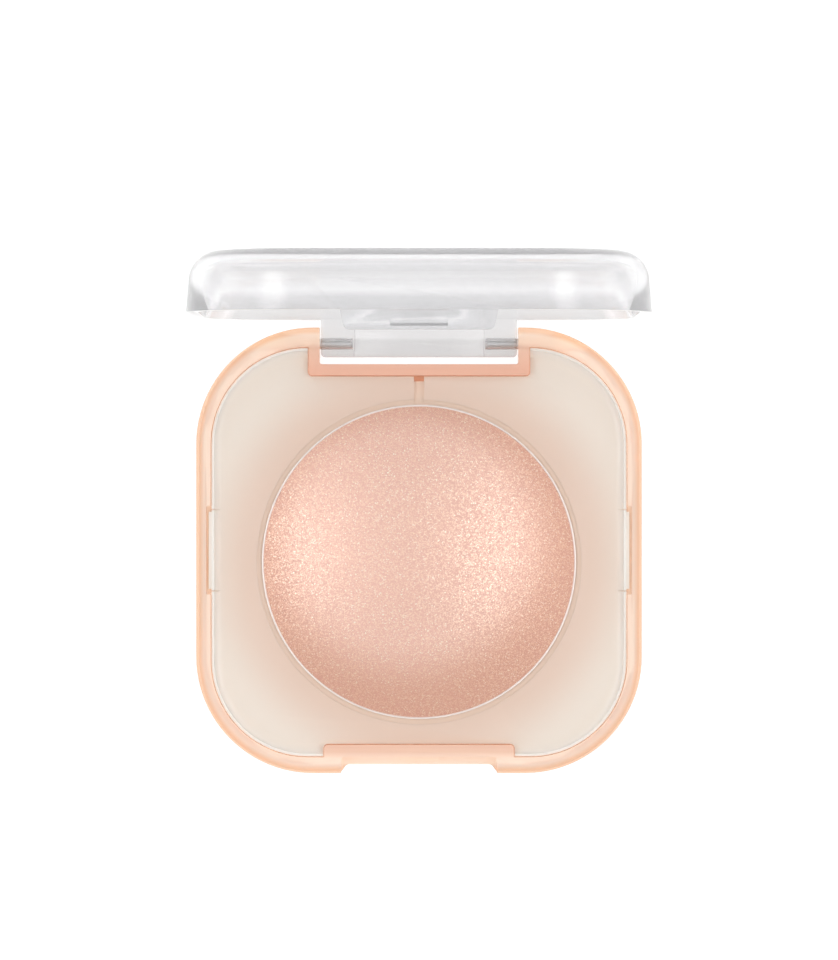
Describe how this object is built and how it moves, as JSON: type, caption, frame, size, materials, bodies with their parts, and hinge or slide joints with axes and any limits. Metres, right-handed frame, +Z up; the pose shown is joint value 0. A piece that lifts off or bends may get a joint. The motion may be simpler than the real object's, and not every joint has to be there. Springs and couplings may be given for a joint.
{
  "type": "highlighter powder compact",
  "caption": "Pocket compact with a clear hinged lid, a transparent peach case and a satin inner deck that holds a domed, baked shimmer powder in a round metal pan.",
  "frame": {"origin": "centre of the case's underside, on the surface that the compact rests on", "axes": "+Z up out of the case, +Y towards the hinge at the back, -Y towards the thumb tab at the front, +X to the right; the lid stands open at a right angle"},
  "size_m": [0.063, 0.0729, 0.0676],
  "materials": {
    "peach_clear": "transparent, tinted peach, polished",
    "peach_satin": "milky, satin moulded",
    "glue_white": "soft hot-melt glue",
    "pan_metal": "pressed, satin",
    "baked_powder": "baked mineral powder with fine shimmer",
    "label_paper": "blank coated paper",
    "clear_lid": "transparent, colourless, polished",
    "steel": "drawn wire, knurled at one end"
  },
  "bodies": {
    "case": {"base_shell": "peach_clear", "deck": "peach_satin", "pan_adhesive": "glue_white", "powder_pan": "pan_metal", "powder_dome": "baked_powder", "base_label": "label_paper", "hinge_pin_left": "steel", "hinge_pin_right": "steel"},
    "lid": {"lid_shell": "clear_lid"}
  },
  "joints": [
    {"name": "lid_hinge", "type": "hinge", "parent": "case", "child": "lid", "pos_m": [0, 0.0292, 0.00685], "axis": [-1, 0, 0], "range_deg": [-90, 18]}
  ]
}
